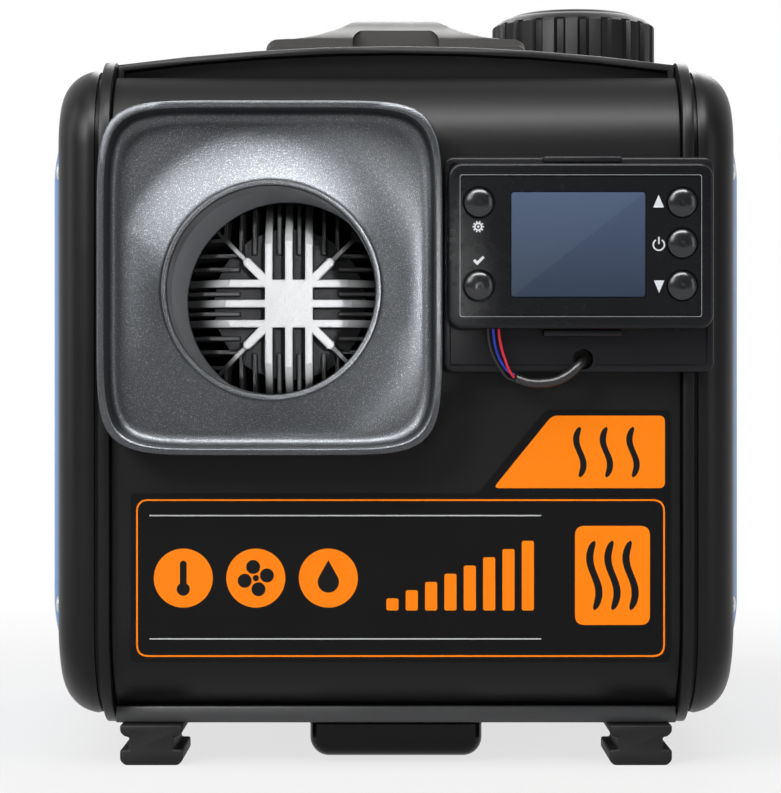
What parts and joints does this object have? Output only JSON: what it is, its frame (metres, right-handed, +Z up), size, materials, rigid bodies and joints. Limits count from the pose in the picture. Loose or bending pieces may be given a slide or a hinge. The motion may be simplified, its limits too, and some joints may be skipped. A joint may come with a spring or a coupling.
{
  "type": "diesel air heater",
  "caption": "Portable diesel air heater in a box case with round warm air outlet, snap-in controller, fuel cap, carry handle and feet",
  "frame": {"origin": "on the floor under the middle of the object's box", "axes": "+X to the object's right as seen from the front, +Y from the front to the back, +Z up"},
  "size_m": [0.303, 0.4, 0.335],
  "materials": {
    "case_black": "fine satin moulded plastic",
    "side_blue": "smooth blue plastic",
    "screw_steel": "bright domed screw",
    "tray_grey": "dark satin paint",
    "foot_rubber": "black rubber",
    "gloss_black": "semi-gloss black plastic",
    "handle_grey": "warm dark grey satin",
    "cap_black": "matt black",
    "bezel_grey": "grainy silver-grey",
    "duct_grey": "dark grey",
    "cast_aluminium": "bright die cast",
    "plain_steel": "plain sheet and tube",
    "tank_white": "natural blow moulded plastic",
    "hose_green": "fuel hose",
    "rocker_red": "red rocker",
    "board_green": "printed board",
    "display_blue": "dark blue display window",
    "wire_red": "red insulation",
    "wire_blue": "blue insulation",
    "label_print": "black film with orange print"
  },
  "bodies": {
    "case": {"right_side_shell": "case_black", "left_side_shell": "case_black", "right_side_panel": "side_blue", "left_side_panel": "side_blue", "right_screw_front_upper": "screw_steel", "right_screw_front_lower": "screw_steel", "right_screw_rear_upper": "screw_steel", "right_screw_rear_lower": "screw_steel", "left_screw_front_upper": "screw_steel", "left_screw_front_lower": "screw_steel", "left_screw_rear_upper": "screw_steel", "left_screw_rear_lower": "screw_steel", "front_panel": "case_black", "rear_panel": "case_black", "top_cover": "case_black", "base_plate": "tray_grey", "left_front_foot": "foot_rubber", "left_rear_foot": "foot_rubber", "right_front_foot": "foot_rubber", "right_rear_foot": "foot_rubber", "belly_pan": "gloss_black", "carry_handle": "handle_grey", "filler_collar": "side_blue", "outlet_bezel": "bezel_grey", "outlet_duct": "duct_grey", "heater_casing": "case_black", "heat_exchanger": "cast_aluminium", "burner_head": "cast_aluminium", "blower_motor": "plain_steel", "control_unit": "cap_black", "intake_grille": "case_black", "heater_stand": "plain_steel", "exhaust_pipe": "plain_steel", "air_pipe": "foot_rubber", "fuel_tank": "tank_white", "fuel_pump": "plain_steel", "suction_hose": "hose_green", "delivery_hose": "hose_green", "power_supply": "plain_steel", "mains_inlet": "cap_black", "controller_cradle": "case_black", "controller_back": "gloss_black", "controller_face": "gloss_black", "controller_board": "board_green", "display_window": "display_blue", "red_wire": "wire_red", "blue_wire": "wire_blue", "black_wire": "foot_rubber", "cable_sheath": "foot_rubber", "front_label": "label_print"},
    "cap_seal": {"cap_seal": "foot_rubber"},
    "fuel_cap": {"fuel_cap": "cap_black"},
    "air_fan": {"air_fan": "cap_black"},
    "rocker_switch": {"rocker_switch": "rocker_red"},
    "menu_button": {"menu_button": "gloss_black"},
    "confirm_button": {"confirm_button": "gloss_black"},
    "up_button": {"up_button": "gloss_black"},
    "power_button": {"power_button": "gloss_black"},
    "down_button": {"down_button": "gloss_black"}
  },
  "joints": [
    {"name": "menu_press", "type": "slide", "parent": "case", "child": "menu_button", "axis": [0, 1, 0], "range_m": [0, 0.0008], "stiffness_N_per_m": 300},
    {"name": "confirm_press", "type": "slide", "parent": "case", "child": "confirm_button", "axis": [0, 1, 0], "range_m": [0, 0.0008], "stiffness_N_per_m": 300},
    {"name": "up_press", "type": "slide", "parent": "case", "child": "up_button", "axis": [0, 1, 0], "range_m": [0, 0.0008], "stiffness_N_per_m": 300},
    {"name": "power_press", "type": "slide", "parent": "case", "child": "power_button", "axis": [0, 1, 0], "range_m": [0, 0.0008], "stiffness_N_per_m": 300},
    {"name": "down_press", "type": "slide", "parent": "case", "child": "down_button", "axis": [0, 1, 0], "range_m": [0, 0.0008], "stiffness_N_per_m": 300},
    {"name": "fan_spin", "type": "hinge", "parent": "case", "child": "air_fan", "pos_m": [-0.0473, 0.13, 0.1956], "axis": [0, 1, 0], "continuous": true},
    {"name": "cap_rise", "type": "slide", "parent": "case", "child": "cap_seal", "axis": [0, 0, 1], "range_m": [0, 0.00451]},
    {"name": "cap_turn", "type": "hinge", "parent": "cap_seal", "child": "fuel_cap", "pos_m": [0.084, -0.02, 0.32], "axis": [0, 0, 1], "range_deg": [0, 540]},
    {"name": "rocker_tip", "type": "hinge", "parent": "case", "child": "rocker_switch", "pos_m": [0.05, 0.176, 0.084], "axis": [1, 0, 0], "range_deg": [-20, 0]}
  ],
  "couplings": [
    {"joint": "cap_rise", "follows": "cap_turn", "m_per_rad": 0.00047746}
  ]
}
